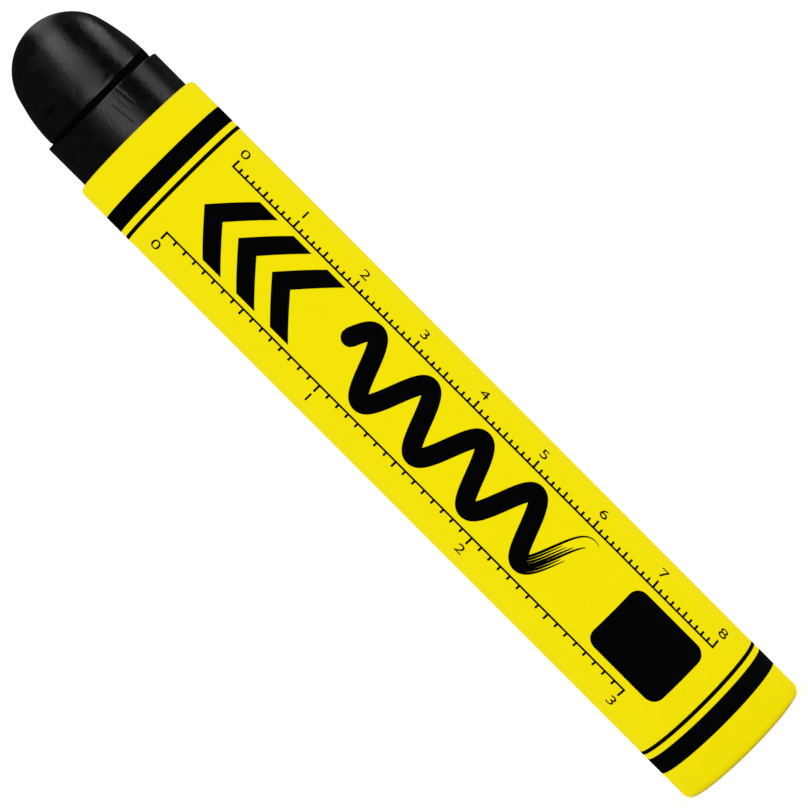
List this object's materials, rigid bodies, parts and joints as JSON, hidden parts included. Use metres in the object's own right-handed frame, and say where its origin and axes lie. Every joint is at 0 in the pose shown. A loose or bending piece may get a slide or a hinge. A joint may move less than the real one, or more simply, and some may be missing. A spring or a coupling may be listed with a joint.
{
  "type": "paint stick",
  "caption": "Solid paint marker: a black domed paint stick in a round yellow paper-wrapped board sleeve, pushed forward through the hole in the sleeve's rolled base.",
  "frame": {"origin": "centre of the base, on the plane that the rolled rim stands on", "axes": "+Z along the stick towards its nose, -Y out of the front of the printed wrap, +Y out of the wrap's lap seam"},
  "size_m": [0.0188, 0.0189, 0.1206],
  "materials": {
    "paint": "satin",
    "disc_board": "matte",
    "greaseproof_paper": "satin",
    "sleeve_board": "matte",
    "yellow_paper": "satin"
  },
  "bodies": {
    "sleeve": {"printed_wrap": "yellow_paper", "outer_ply": "sleeve_board", "inner_ply": "sleeve_board", "liner": "greaseproof_paper"},
    "stick": {"paint_stick": "paint", "base_disc": "disc_board"}
  },
  "joints": [
    {"name": "stick_advance", "type": "slide", "parent": "sleeve", "child": "stick", "axis": [0, 0, 1], "range_m": [0, 0.09]}
  ]
}
